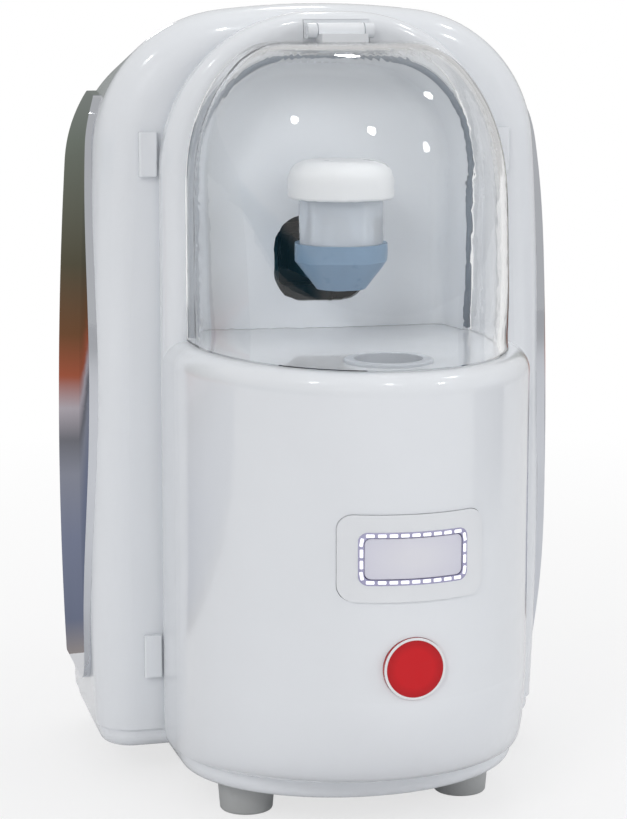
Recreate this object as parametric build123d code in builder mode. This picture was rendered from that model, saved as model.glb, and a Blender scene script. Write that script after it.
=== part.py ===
"""Dental capsule mixer: an upright bench machine that shakes a capsule of cement powder and liquid.

A white tower stands on four rubber feet. The front shell is half an ellipse in plan, with a ledge at
half height. A clear hood stands on the ledge and hinges at the crown of a white arch. Behind the arch
is a shallow chamber. An arm comes through a hole in the chamber's back wall and carries a clear cup
with a white cap. An eccentric on a motor shaft rocks the arm. The rear shell is wider, with bowed
sides, and carries a chromed wing on each side.

Frame: X to the viewer's right, Y towards the back, Z up. The origin is on the table, under the middle
of the machine. Units are millimetres.
"""

import math
import os

from build123d import *

os.makedirs("parts", exist_ok=True)


# Fits shared by the pieces
clearance = 0.3
running = 0.05
seat = 0.1
cut_reach = 40.0

# Driving dimensions of the casing
foot_height = 12.0
foot_radius = 10.0
front_foot_x = 38.5
front_foot_y = -30.0
rear_foot_y = 78.0
base_band = 7.0
shell_bottom = foot_height + base_band
wall = 3.0
front_y = -99.2
rear_y = 99.0
seam_y = 4.0
collar_length = 12.0
collar_step = 1.4
lip_round = 7.0
chin_top = 54.0
chin_draw = 30.0

# Front shell
ellipse_y = -18.0
tower_half = 60.0
ledge_z = 159.0
ledge_thickness = 3.0
tower_top = 270.0
tower_corner = 54.0
tower_crown_rise = 6.0
frame_y = -6.0
frame_round = 6.0
arch_band = 12.0
opening_half = 51.0
opening_top = tower_top - arch_band
opening_corner = 40.0

# Rear shell
barrel_front_gap = 3.0
barrel_y = seam_y + barrel_front_gap
barrel_foot_half = 82.0
barrel_mid_half = 84.0
barrel_mid_z = 120.0
barrel_eave_half = 77.0
barrel_crown_step = 5.0
barrel_crown_z = tower_top + barrel_crown_step
barrel_eave_drop = 10.0
barrel_eave_z = barrel_crown_z - barrel_eave_drop
barrel_corner = 50.0
barrel_rear_draw = 3.0
barrel_rear_drop = 16.0
barrel_round = 13.0
barrel_rear_round = 28.0
rear_foot_setback = 28.0
rear_foot_x = barrel_foot_half - rear_foot_setback

# Side wings
wing_thickness = 2.6
wing_bottom = 32.0
wing_head = 29.0
wing_top = tower_top - wing_head
wing_front_y = 12.0
wing_rear_y = 84.0
wing_bow = 14.0

# Chamber behind the hood
back_wall_y = 14.0
niche_side_draw = 5.5
niche_top_draw = 4.0
liner_wall = 2.4
liner_round = 6.0
hole_half_width = 17.5
hole_half_height = 15.0
hole_round = 11.0
hole_z = 184.0

# Clear hood
hood_half = 53.0
hood_wall = 2.5
hood_inset = 8.0
hood_drop = 10.0
hood_top = tower_top - hood_drop
hood_dome = 48.0
hood_shoulder = hood_top - hood_dome
hood_crown_half = 22.0
hood_crown_reach = 10.0
hood_base_z = ledge_z + clearance
hood_back_y = frame_y - clearance

# Hood hinge at the crown of the arch
hinge_y = frame_y - 4.0
hinge_z = hood_top + 3.6
knuckle_radius = 2.6
knuckle_half = 8.0
ear_width = 3.2
ear_radius = 2.6
ear_gap = 0.4
hinge_pin_radius = 1.25

# Front features
button_z = 101.0
button_width = 32.0
button_height = 13.0
button_travel = 1.2
light_border = 1.7
bezel_width = 48.0
bezel_height = 28.0
bezel_corner = 5.0
light_corner = 3.0
button_corner = 2.0
bezel_proud = 0.8
badge_z = 65.0
badge_radius = 10.2
badge_recess = 1.2
badge_proud = 0.6
badge_round = 0.4
well_y = -68.5
well_flange_radius = 14.2
well_outer_radius = 12.6
well_bore_radius = 11.0
well_depth = 24.0
well_flange = 1.2
well_round = 0.6
well_floor = 2.0

# Shaking mechanism
pivot_y = 54.0
pivot_z = 184.0
pivot_pin_radius = 3.0
bush_radius = 5.0
hub_radius = 9.0
arm_half = 8.0
cheek_gap = 0.8
cheek_thickness = 3.0
cup_y = -12.0
cup_radius = 14.5
cup_bottom = 186.0
cup_height = 24.0
capsule_radius = 8.25
capsule_depth = 20.0
ring_wall = 1.4
ring_radius = cup_radius + seat + ring_wall
ring_bottom = 178.0
ring_top = 192.0
holder_foot = 1.5
holder_foot_radius = 8.5
cap_radius = 18.3
cap_height = 13.0
crank_z = 154.0
crank_throw = 3.0
shaft_radius = 2.5
eccentric_radius = 6.0
motor_radius = 18.0
motor_length = 44.0
chassis_y = 75.6
chassis_sheet = 2.5
chassis_half = 46.0

# Rear panel
inlet_x = -30.0
inlet_z = 52.0
switch_x = 22.0
switch_z = 52.0


# Cylinders and cones stand on their place, or hang below it
upright = (Align.CENTER, Align.CENTER, Align.MIN)
hanging = (Align.CENTER, Align.CENTER, Align.MAX)


def keep(builder, name):
    """Labels a finished piece and writes it under its own name."""
    builder.part.label = name
    export_step(builder.part, f"parts/{name}.step")
    return builder.part


def tower_plan(inset=0.0, back=seam_y, draw=0.0):
    """The front shell's plan: half an ellipse, drawn in at the front, and straight sides behind it."""
    half = tower_half - inset
    reach = ellipse_y - front_y - inset - draw
    with BuildSketch() as plan:
        with BuildLine():
            EllipticalCenterArc((0, ellipse_y), half, reach, start_angle=180, arc_size=180)
            Line((half, ellipse_y), (half, back))
            Line((half, back), (-half, back))
            Line((-half, back), (-half, ellipse_y))
        make_face()
    return plan.sketch


def nose(inset, bottom, top, back=seam_y):
    """The front shell's upright nose as a solid between two heights."""
    with BuildPart() as form:
        with BuildSketch(Plane.XY.offset(bottom)):
            add(tower_plan(inset, back))
        extrude(amount=top - bottom)
    return form.part


def chin(inset, back=seam_y):
    """The rounded chin under the nose, lofted through plans that draw in towards the base."""
    with BuildPart() as form:
        for share in (0, 0.22, 0.45, 0.72, 1):
            z = shell_bottom + (chin_top - shell_bottom) * share
            draw = chin_draw * (1 - math.sqrt(1 - (1 - share) ** 2)) if share < 1 else 0.0
            with BuildSketch(Plane.XY.offset(z)):
                add(tower_plan(inset, back, draw))
        loft()
    return form.part


def arch_face(half, top, corner, bottom, rise):
    """An arch seen from the front: upright sides, round shoulders and a slightly domed crown."""
    with BuildSketch() as outline:
        with BuildLine():
            Line((-half, bottom), (half, bottom))
            Line((half, bottom), (half, top - rise))
            ThreePointArc((half, top - rise), (0, top), (-half, top - rise))
            Line((-half, top - rise), (-half, bottom))
        make_face()
        fillet(outline.vertices().group_by(Axis.Y)[-1], radius=corner)
    return outline.sketch


def arch_block(face, front, back):
    """An arch face extruded from its front plane to its back plane."""
    with BuildPart() as form:
        with BuildSketch(Plane.XZ.offset(-front)):
            add(face)
        extrude(amount=front - back)
    return form.part


def tower_arch(inset, bottom):
    """The white arch's outline at an inset."""
    return arch_face(tower_half - inset, tower_top - inset, tower_corner - inset, bottom, tower_crown_rise)


def barrel_face(inset, bottom, draw=0.0, drop=0.0):
    """The rear shell seen from the back: bowed sides, round shoulders and a domed crown."""
    foot = (barrel_foot_half - inset - draw, bottom)
    middle = (barrel_mid_half - inset - draw, barrel_mid_z)
    eave = (barrel_eave_half - inset - draw, barrel_eave_z - inset - drop)
    with BuildSketch() as outline:
        with BuildLine():
            Line((-foot[0], bottom), foot)
            ThreePointArc(foot, middle, eave)
            ThreePointArc(eave, (0, barrel_crown_z - inset - drop), (-eave[0], eave[1]))
            ThreePointArc((-eave[0], eave[1]), (-middle[0], middle[1]), (-foot[0], bottom))
        make_face()
        fillet(outline.vertices().group_by(Axis.Y)[-1], radius=barrel_corner - inset)
    return outline.sketch


def hood_form(inset, bottom):
    """The solid under the hood, lofted through level sections that close up towards the crown."""
    top = hood_top - inset
    full_reach = ellipse_y - front_y - hood_inset - inset
    full_half = hood_half - inset
    levels = [bottom, bottom + 14, bottom + 34, hood_shoulder]
    dome = top - hood_shoulder
    levels += [hood_shoulder + dome * math.sin(math.radians(angle)) for angle in (22, 42, 60, 76, 90)]
    with BuildPart() as form:
        for z in levels:
            over = max(0.0, (z - hood_shoulder) / (top - hood_shoulder))
            half = hood_crown_half + (full_half - hood_crown_half) * math.sqrt(max(0.0, 1 - over**2))
            up = max(0.0, (z - bottom) / (top - bottom))
            reach = hood_crown_reach + (full_reach - hood_crown_reach) * math.sqrt(max(0.0, 1 - up**2.4))
            with BuildSketch(Plane.XY.offset(z)):
                with BuildLine():
                    EllipticalCenterArc((0, ellipse_y), half, reach, start_angle=180, arc_size=180)
                    Line((half, ellipse_y), (half, hood_back_y))
                    Line((half, hood_back_y), (-half, hood_back_y))
                    Line((-half, hood_back_y), (-half, ellipse_y))
                make_face()
        loft()
    return form.part


def barrel_solid(inset, bottom):
    """The rear shell's form at an inset: it narrows and falls to the back, and its ends are rounded."""
    with BuildPart() as form:
        with BuildSketch(Plane.XZ.offset(-barrel_y - inset)):
            add(barrel_face(inset, bottom))
        with BuildSketch(Plane.XZ.offset(-rear_y + inset)):
            add(barrel_face(inset, bottom, barrel_rear_draw, barrel_rear_drop))
        loft(ruled=True)
        for end, radius in ((0, barrel_round), (-1, barrel_rear_round)):
            rim = form.faces().filter_by(Axis.Y).sort_by(Axis.Y)[end].edges()
            fillet([e for e in rim if e.center().Z > bottom + 1], radius=radius - inset)
    return form.part


def slot_face(width, height, corner, x=0.0, z=0.0):
    """A rounded rectangle seen from the front."""
    with BuildSketch() as outline:
        with Locations((x, z)):
            RectangleRounded(width, height, corner)
    return outline.sketch


def through(face, front, back):
    """A front-view face as a block between two Y planes."""
    return arch_block(face, front, back)


foot_places = [
    (-front_foot_x, front_foot_y),
    (front_foot_x, front_foot_y),
    (-rear_foot_x, rear_foot_y),
    (rear_foot_x, rear_foot_y),
]


def front_form(proud, face, back):
    """A piece let into the nose: a front-view face that stands proud of the nose's curve."""
    with BuildPart() as form:
        add(nose(-proud, chin_top, ledge_z))
        add(through(face, front_y - 5, back), mode=Mode.INTERSECT)
    return form.part


def lengthwise(radius, x_from, x_to, y, z):
    """A cylinder along X."""
    with BuildPart() as rod:
        with BuildSketch(Plane.YZ.offset(x_from)):
            with Locations((y, z)):
                Circle(radius)
        extrude(amount=x_to - x_from)
    return rod.part


def rearward(radius, y_from, y_to, x, z):
    """A cylinder along Y."""
    with BuildPart() as rod:
        with BuildSketch(Plane.XZ.offset(-y_from)):
            with Locations((x, z)):
                Circle(radius)
        extrude(amount=y_from - y_to)
    return rod.part


def block(x_from, x_to, y_from, y_to, z_from, z_to):
    """A box given by its limits."""
    with BuildPart() as form:
        with Locations(((x_from + x_to) / 2, (y_from + y_to) / 2, (z_from + z_to) / 2)):
            Box(x_to - x_from, y_to - y_from, z_to - z_from)
    return form.part


# Bosses in the two shells take the housing screws from below
boss_radius = 4.5
boss_top = 46.0
boss_roof = 4.0
rib_thickness = 2.4
screw_radius = 1.75
lip_height = 4.0
front_boss = (46.0, -8.0)
rear_boss_setback = 20.0
rear_boss_x = barrel_foot_half - rear_boss_setback
rear_rib_reach = max(barrel_foot_half, barrel_mid_half)
rear_boss_y = (28.0, 58.0)


def boss(x, y, wall_x):
    """A screw boss and the rib that ties it to the side wall."""
    low = min(x, wall_x)
    high = max(x, wall_x)
    rib_bottom = shell_bottom + lip_height + clearance
    with BuildPart() as form:
        with Locations((x, y, shell_bottom)):
            Cylinder(boss_radius, boss_top - shell_bottom, align=upright)
        add(block(low, high, y - rib_thickness / 2, y + rib_thickness / 2, rib_bottom, boss_top))
        with Locations((x, y, shell_bottom - 1)):
            Cylinder(screw_radius, boss_top - shell_bottom - boss_roof, align=upright, mode=Mode.SUBTRACT)
    return form.part


# Front shell: nose with a ledge, white arch above it, and a collar that enters the rear shell
collar_end = seam_y + collar_length
bracket_half = knuckle_half + ear_gap + ear_width
pocket_y = frame_y + 1.8
bracket_low = opening_top + clearance
bracket_high = hinge_z + ear_radius + 1.0
with BuildPart() as arch_part:
    add(arch_block(tower_arch(0, shell_bottom), frame_y, seam_y))
    front_edges = arch_part.edges().filter_by_position(Axis.Y, frame_y - 0.01, frame_y + 0.01)
    fillet([e for e in front_edges if e.center().Z > shell_bottom + 1], radius=frame_round)

with BuildPart() as nose_part:
    add(nose(0, chin_top, ledge_z))
    add(chin(0))
    ledge_edges = nose_part.edges().group_by(Axis.Z)[-1]
    fillet([e for e in ledge_edges if e.center().Y < seam_y - 0.01], radius=lip_round)

with BuildPart() as front_shell:
    add(nose_part.part)
    add(arch_part.part)
    add(arch_block(tower_arch(collar_step, shell_bottom + lip_height + clearance), seam_y, collar_end))
    add(nose(wall, chin_top, ledge_z - ledge_thickness, collar_end + 1), mode=Mode.SUBTRACT)
    add(chin(wall, collar_end + 1), mode=Mode.SUBTRACT)
    add(
        arch_block(tower_arch(collar_step + wall, ledge_z), frame_y + wall, collar_end + 1),
        mode=Mode.SUBTRACT,
    )
    opening = arch_face(opening_half, opening_top, opening_corner, ledge_z, tower_crown_rise)
    add(arch_block(opening, frame_y - 1, frame_y + wall + 1), mode=Mode.SUBTRACT)
    bezel_hole = slot_face(bezel_width + 2 * seat, bezel_height + 2 * seat, bezel_corner, 0, button_z)
    add(through(bezel_hole, front_y - 5, ellipse_y - 40), mode=Mode.SUBTRACT)
    add(rearward(badge_radius + seat, front_y - 1, front_y + badge_recess, 0, badge_z), mode=Mode.SUBTRACT)
    with Locations((0, well_y, ledge_z)):
        Cylinder(well_outer_radius + seat, 4 * ledge_thickness, mode=Mode.SUBTRACT)
    pocket_half = bracket_half + seat
    add(
        block(-pocket_half, pocket_half, frame_y - 1, pocket_y, bracket_low - seat, bracket_high + seat),
        mode=Mode.SUBTRACT,
    )
    for side in (-1, 1):
        add(boss(side * front_boss[0], front_boss[1], side * (tower_half - wall / 2)))
keep(front_shell, "front_shell")

with BuildPart() as front_badge:
    add(rearward(badge_radius, front_y - badge_proud, front_y + badge_recess, 0, badge_z))
    fillet(front_badge.faces().sort_by(Axis.Y)[0].edges(), radius=badge_round)
keep(front_badge, "front_badge")

# Rear shell with vents, a mains module and a switch
vent_width = 52.0
vent_height = 3.2
vent_pitch = 8.0
vent_count = 8
vent_z = 186.0
module_width = 31.0
module_height = 44.0
module_depth = 20.0
module_proud = 0.8
switch_width = 22.0
switch_height = 30.0
flange_lip = 1.8
module_neck_width = module_width - 2 * flange_lip
module_neck_height = module_height - 2 * flange_lip
module_corner = 2.0
switch_neck_width = switch_width - 2 * flange_lip
switch_neck_height = switch_height - 2 * flange_lip
switch_corner = 1.0
wing_profile_round = 12.0
with BuildPart() as rear_bosses:
    for side in (-1, 1):
        for y in rear_boss_y:
            add(boss(side * rear_boss_x, y, side * rear_rib_reach))
    add(barrel_solid(wall / 2, shell_bottom), mode=Mode.INTERSECT)
with BuildPart() as rear_shell:
    add(barrel_solid(0, shell_bottom))
    add(barrel_solid(wall, shell_bottom - 2), mode=Mode.SUBTRACT)
    add(
        arch_block(tower_arch(collar_step - seat, shell_bottom - 2), barrel_y - 1, collar_end + clearance),
        mode=Mode.SUBTRACT,
    )
    with BuildSketch(Plane.XZ.offset(-rear_y)):
        with Locations((0, vent_z)):
            with GridLocations(0, vent_pitch, 1, vent_count):
                SlotOverall(vent_width, vent_height)
    extrude(amount=wall + 1, mode=Mode.SUBTRACT)
    module_hole = slot_face(module_neck_width, module_neck_height, module_corner, inlet_x, inlet_z)
    add(through(module_hole, rear_y - wall - 1, rear_y + 1), mode=Mode.SUBTRACT)
    switch_hole = slot_face(switch_neck_width, switch_neck_height, switch_corner, switch_x, switch_z)
    add(through(switch_hole, rear_y - wall - 1, rear_y + 1), mode=Mode.SUBTRACT)
    add(rear_bosses.part)
keep(rear_shell, "rear_shell")


# Chromed wings on the rear shell's sides
def wing_side():
    """The wing's outline from the side, with a bowed front edge."""
    middle = (wing_bottom + wing_top) / 2
    with BuildSketch() as outline:
        with BuildLine():
            ThreePointArc(
                (wing_front_y + wing_bow, wing_bottom),
                (wing_front_y, middle),
                (wing_front_y + wing_bow, wing_top),
            )
            Line((wing_front_y + wing_bow, wing_top), (wing_rear_y, wing_top))
            Line((wing_rear_y, wing_top), (wing_rear_y, wing_bottom))
            Line((wing_rear_y, wing_bottom), (wing_front_y + wing_bow, wing_bottom))
        make_face()
        fillet(outline.vertices(), radius=wing_profile_round)
    return outline.sketch


with BuildPart() as right_wing:
    add(barrel_solid(-wing_thickness, shell_bottom))
    add(barrel_solid(0, shell_bottom - 1), mode=Mode.SUBTRACT)
    with BuildSketch(Plane.YZ.offset(barrel_foot_half - cut_reach)):
        add(wing_side())
    extrude(amount=2 * cut_reach, mode=Mode.INTERSECT)
keep(right_wing, "right_wing")
with BuildPart() as left_wing:
    add(right_wing.part.mirror(Plane.YZ))
keep(left_wing, "left_wing")

# Small covers beside the seam, on the rear shell's front face
clip_width = 6.4
clip_height = 15.0
clip_depth = 2.4
clip_round = 0.8
clip_low_z = 46.0
clip_high_z = 222.0
with BuildPart() as seam_clips:
    for side in (-1, 1):
        for z in (clip_low_z, clip_high_z):
            near = tower_half + seat
            low = near if side > 0 else -near - clip_width
            bottom = z - clip_height / 2
            add(block(low, low + clip_width, barrel_y - clip_depth, barrel_y, bottom, bottom + clip_height))
    fillet(seam_clips.edges().filter_by(Axis.Z), radius=clip_round)
keep(seam_clips, "seam_clips")

# Base tray with a lip inside the shells
tray_inset = 1.2
tray_floor = 4.0
tray_round = 4.0
lip_wall = 2.0
lip_gap = 0.6
boss_pad_wall = 1.5
screw_hole_gap = 0.25
head_recess_radius = 4.0
head_recess_depth = 3.0
foot_screw_radius = 2.0
foot_pad_radius = 6.0
stem_overlap = 15.0


def base_plan(inset):
    """The whole machine's plan at its foot: the drawn-in nose and the rear shell together."""
    with BuildSketch() as plan:
        add(tower_plan(inset, barrel_y + inset + stem_overlap, chin_draw))
        front_half = barrel_foot_half - inset
        rear_half = front_half - barrel_rear_draw
        with BuildSketch() as rear:
            with BuildLine():
                Polyline(
                    (-front_half, barrel_y + inset),
                    (front_half, barrel_y + inset),
                    (rear_half, rear_y - inset),
                    (-rear_half, rear_y - inset),
                    close=True,
                )
            make_face()
            fillet(rear.vertices().group_by(Axis.Y)[0], radius=barrel_round - inset)
            fillet(rear.vertices().group_by(Axis.Y)[-1], radius=barrel_rear_round - inset)
        add(rear.sketch)
    return plan.sketch


with BuildPart() as base_tray:
    with BuildSketch(Plane.XY.offset(foot_height)):
        add(base_plan(tray_inset))
    extrude(amount=base_band)
    fillet(base_tray.faces().sort_by(Axis.Z)[0].edges(), radius=tray_round)
    with BuildSketch(Plane.XY.offset(foot_height + tray_floor)):
        add(base_plan(wall + lip_gap))
    extrude(amount=base_band - tray_floor + lip_height)
    with BuildSketch(Plane.XY.offset(foot_height + tray_floor)):
        add(base_plan(wall + lip_gap + lip_wall))
    extrude(amount=base_band, mode=Mode.SUBTRACT)
    boss_places = [(side * front_boss[0], front_boss[1]) for side in (-1, 1)]
    boss_places += [(side * rear_boss_x, y) for side in (-1, 1) for y in rear_boss_y]
    for x, y in boss_places:
        with Locations((x, y, foot_height)):
            Cylinder(boss_radius + boss_pad_wall, base_band, align=upright)
        with Locations((x, y, foot_height - 1)):
            Cylinder(screw_radius + screw_hole_gap, 2 * base_band, align=upright, mode=Mode.SUBTRACT)
            Cylinder(head_recess_radius, 1 + head_recess_depth, align=upright, mode=Mode.SUBTRACT)
    for x, y in foot_places:
        with Locations((x, y, foot_height + tray_floor)):
            Cylinder(foot_pad_radius, base_band - tray_floor, align=upright)
        with Locations((x, y, foot_height - 1)):
            Cylinder(foot_screw_radius, base_band - 1, align=upright, mode=Mode.SUBTRACT)
keep(base_tray, "base_tray")

# Rubber feet and their screws
foot_taper = 1.0
foot_round = 1.0
foot_recess = 5.0
foot_screw_head = 4.0
foot_screw_head_height = 2.4
foot_head_gap = 0.6
with BuildPart() as foot_form:
    Cone(foot_radius - foot_taper, foot_radius, foot_height, align=upright)
    fillet(foot_form.edges().group_by(Axis.Z)[0], radius=foot_round)
    Cylinder(foot_screw_head + foot_head_gap, foot_recess, align=upright, mode=Mode.SUBTRACT)
    Cylinder(foot_screw_radius, foot_height, align=upright, mode=Mode.SUBTRACT)
foot_names = ["foot_front_left", "foot_front_right", "foot_rear_left", "foot_rear_right"]
for name, place in zip(foot_names, foot_places):
    with BuildPart() as foot:
        with Locations(place):
            add(foot_form.part)
    keep(foot, name)

with BuildPart() as foot_screws:
    for x, y in foot_places:
        with Locations((x, y, foot_recess)):
            Cylinder(foot_screw_head, foot_screw_head_height, align=hanging)
            Cylinder(foot_screw_radius, foot_height, align=upright)
keep(foot_screws, "foot_screws")

screw_head_radius = 3.4
screw_head_height = 2.2
screw_length = 20.0
with BuildPart() as housing_screws:
    for x, y in boss_places:
        with Locations((x, y, foot_height + head_recess_depth)):
            Cylinder(screw_head_radius, screw_head_height, align=hanging)
            Cylinder(screw_radius, screw_length, align=upright)
keep(housing_screws, "housing_screws")


# Chamber liner: a shallow arched niche with a rounded hole for the arm
def niche_form(inset, bottom, front, back):
    """The niche's tapering arched form at an inset."""
    corner = opening_corner - inset
    half = opening_half - inset
    top = opening_top - inset
    back_half = half - niche_side_draw + liner_wall
    back_top = top - niche_top_draw + liner_wall
    with BuildPart() as form:
        with BuildSketch(Plane.XZ.offset(-front)):
            add(arch_face(half - seat, top - seat, corner, bottom, tower_crown_rise))
        with BuildSketch(Plane.XZ.offset(-back)):
            add(arch_face(back_half, back_top, corner, bottom, tower_crown_rise))
        loft(ruled=True)
    return form.part


with BuildPart() as niche:
    add(niche_form(liner_wall, ledge_z - 20, frame_y - 1, back_wall_y))
    back_edges = niche.faces().sort_by(Axis.Y)[-1].edges()
    fillet([e for e in back_edges if e.center().Z > ledge_z], radius=liner_round)
with BuildPart() as chamber_liner:
    add(niche_form(0, ledge_z + seat, frame_y, back_wall_y + liner_wall))
    add(niche.part, mode=Mode.SUBTRACT)
    arm_hole = slot_face(2 * hole_half_width, 2 * hole_half_height, hole_round, 0, hole_z)
    add(through(arm_hole, back_wall_y - 1, back_wall_y + liner_wall + 1), mode=Mode.SUBTRACT)
keep(chamber_liner, "chamber_liner")

# Clear hood, its knuckle, hinge bracket and pin
with BuildPart() as hood_cover:
    add(hood_form(0, hood_base_z))
    add(hood_form(hood_wall, hood_base_z - 1), mode=Mode.SUBTRACT)
    add(block(-hood_half, hood_half, hood_back_y - 0.01, hood_back_y + 5, hood_base_z - 2, hood_top + 1),
        mode=Mode.SUBTRACT)
keep(hood_cover, "hood_cover")

web_front_y = hinge_y - 7.0
web_back_y = hinge_y + 1.5
web_low_z = hinge_z - 5.0
web_high_z = hinge_z - 1.0
with BuildPart() as hood_knuckle:
    add(lengthwise(knuckle_radius, -knuckle_half, knuckle_half, hinge_y, hinge_z))
    add(block(-knuckle_half, knuckle_half, web_front_y, web_back_y, web_low_z, web_high_z))
    add(hood_form(0, hood_base_z), mode=Mode.SUBTRACT)
    add(lengthwise(hinge_pin_radius + running, -cut_reach, cut_reach, hinge_y, hinge_z), mode=Mode.SUBTRACT)
keep(hood_knuckle, "hood_knuckle")

bracket_plate = 1.6
plate_front = pocket_y - bracket_plate
plate_grip = 0.5
with BuildPart() as hinge_bracket:
    add(block(-bracket_half, bracket_half, plate_front, pocket_y - seat, bracket_low, bracket_high))
    for side in (-1, 1):
        near = knuckle_half + ear_gap
        low = near if side > 0 else -near - ear_width
        add(lengthwise(ear_radius, low, low + ear_width, hinge_y, hinge_z))
        ear_low = hinge_z - ear_radius
        add(block(low, low + ear_width, hinge_y, plate_front + plate_grip, ear_low, ear_low + 2 * ear_radius))
    add(lengthwise(hinge_pin_radius, -cut_reach, cut_reach, hinge_y, hinge_z), mode=Mode.SUBTRACT)
keep(hinge_bracket, "hinge_bracket")

with BuildPart() as hinge_pin:
    add(lengthwise(hinge_pin_radius, -bracket_half, bracket_half, hinge_y, hinge_z))
keep(hinge_pin, "hinge_pin")

# Start button, its lit frame and the bezel round them, all following the nose's curve
light_width = button_width + 2 * clearance + 2 * light_border
light_height = button_height + 2 * clearance + 2 * light_border
light_face = slot_face(light_width, light_height, light_corner, 0, button_z)
light_step = 0.2
piece_depth = 4.0
with BuildPart() as button_bezel:
    bezel_face = slot_face(bezel_width, bezel_height, bezel_corner, 0, button_z)
    add(front_form(bezel_proud, bezel_face, ellipse_y - 40))
    add(nose(piece_depth, chin_top, ledge_z), mode=Mode.SUBTRACT)
    add(through(light_face, front_y - 5, ellipse_y), mode=Mode.SUBTRACT)
keep(button_bezel, "button_bezel")

with BuildPart() as button_light:
    add(front_form(bezel_proud + light_step, light_face, ellipse_y - 40))
    add(nose(piece_depth, chin_top, ledge_z), mode=Mode.SUBTRACT)
    slot_width = button_width + 2 * clearance
    slot_height = button_height + 2 * clearance
    inner_slot = slot_face(slot_width, slot_height, button_corner, 0, button_z)
    add(through(inner_slot, front_y - 5, ellipse_y), mode=Mode.SUBTRACT)
keep(button_light, "button_light")

plunger_root = front_y + 7.0
plunger_end = front_y + 15.0
plunger_radius = 3.5
switch_face = plunger_end + button_travel + clearance
switch_depth = 4.0
board_front = switch_face + switch_depth
board_thickness = 1.6
board_half = 27.0
board_low = 58.0
board_high = 130.0
with BuildPart() as start_button:
    button_face = slot_face(button_width, button_height, button_corner, 0, button_z)
    add(front_form(bezel_proud - light_step, button_face, plunger_root))
    add(rearward(plunger_radius, plunger_root, plunger_end, 0, button_z))
keep(start_button, "start_button")

# Circuit board with the button's switch, and the bracket that carries it
spacer_length = 5.0
spacer_radius = 3.0
spacer_inset_x = 5.0
spacer_inset_z = 6.0
board_hole_radius = 1.6
board_screw_head = 2.6
board_screw_height = 2.0
sheet = 1.5
bracket_y = board_front + board_thickness + spacer_length
bracket_knee_z = 48.0
bracket_leg_y = -58.0
bracket_leg_half = 14.0
bracket_foot = 14.0
tray_top = foot_height + tray_floor
spacer_rows = (board_low + spacer_inset_z, board_high - spacer_inset_z)
spacer_places = [(side * (board_half - spacer_inset_x), z) for side in (-1, 1) for z in spacer_rows]
with BuildPart() as circuit_board:
    add(block(-board_half, board_half, board_front, board_front + board_thickness, board_low, board_high))
    for x, z in spacer_places:
        add(rearward(board_hole_radius, board_front - 1, bracket_y, x, z), mode=Mode.SUBTRACT)
keep(circuit_board, "circuit_board")

key_half = 3.2
chip = (-12.0, 80.0, 6.0, 3.0)
relay = (14.0, 76.0, 6.0, 9.0)
capacitor_x = -14.0
capacitor_z = 118.0
capacitor_radius = 5.0
capacitor_height = 12.0
with BuildPart() as board_components:
    add(block(-key_half, key_half, switch_face, board_front, button_z - key_half, button_z + key_half))
    for x, z, half, height in (chip, relay):
        add(block(x - half, x + half, board_front - height, board_front, z - half, z + half))
    add(rearward(capacitor_radius, board_front - capacitor_height, board_front, capacitor_x, capacitor_z))
keep(board_components, "board_components")

with BuildPart() as board_bracket:
    add(block(-board_half, board_half, bracket_y, bracket_y + sheet, bracket_knee_z, board_high))
    leg_sides = (-bracket_leg_half, bracket_leg_half)
    leg_front = bracket_leg_y - sheet
    add(block(*leg_sides, bracket_y, bracket_leg_y, bracket_knee_z, bracket_knee_z + sheet))
    add(block(*leg_sides, leg_front, bracket_leg_y, tray_top, bracket_knee_z + sheet))
    add(block(*leg_sides, leg_front, bracket_leg_y + bracket_foot, tray_top, tray_top + sheet))
    for x, z in spacer_places:
        add(rearward(spacer_radius, board_front + board_thickness, bracket_y, x, z))
keep(board_bracket, "board_bracket")

with BuildPart() as board_screws:
    for x, z in spacer_places:
        add(rearward(board_screw_head, board_front - board_screw_height, board_front, x, z))
keep(board_screws, "board_screws")

# Capsule well in the ledge
with BuildPart() as capsule_well:
    with Locations((0, well_y, ledge_z)):
        Cylinder(well_flange_radius, well_flange, align=upright)
    fillet(capsule_well.faces().sort_by(Axis.Z)[-1].edges(), radius=well_round)
    with Locations((0, well_y, ledge_z + well_flange)):
        Cylinder(well_bore_radius, well_flange, align=hanging, mode=Mode.SUBTRACT)
    with Locations((0, well_y, ledge_z)):
        Cylinder(well_outer_radius, well_depth, align=hanging)
        Cylinder(well_bore_radius, well_depth - well_floor, align=hanging, mode=Mode.SUBTRACT)
keep(capsule_well, "capsule_well")

# Chassis: a folded steel plate with two cheeks that carry the arm's pivot and the motor
cheek_inner = arm_half + cheek_gap
cheek_outer = cheek_inner + cheek_thickness
chassis_top = 218.0
chassis_foot = 18.0
cheek_reach = 10.0
cheek_drop = 16.0
cheek_round = 8.0
bearing_radius = 8.0
pin_end = 2.0
with BuildPart() as chassis:
    add(block(-chassis_half, chassis_half, chassis_y, chassis_y + chassis_sheet, tray_top, chassis_top))
    foot_y = chassis_y - chassis_foot
    add(block(-chassis_half, chassis_half, foot_y, chassis_y, tray_top, tray_top + chassis_sheet))
    for side in (-1, 1):
        low = cheek_inner if side > 0 else -cheek_outer
        high = low + cheek_thickness
        add(block(low, high, pivot_y - cheek_reach, chassis_y, crank_z - cheek_drop, pivot_z + cheek_reach))
        add(lengthwise(pivot_pin_radius, low - 1, high + 1, pivot_y, pivot_z), mode=Mode.SUBTRACT)
        add(lengthwise(bearing_radius, low - 1, high + 1, pivot_y, crank_z), mode=Mode.SUBTRACT)
    fillet(chassis.edges().filter_by(Axis.X).group_by(Axis.Y)[0], radius=cheek_round)
keep(chassis, "chassis")

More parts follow.
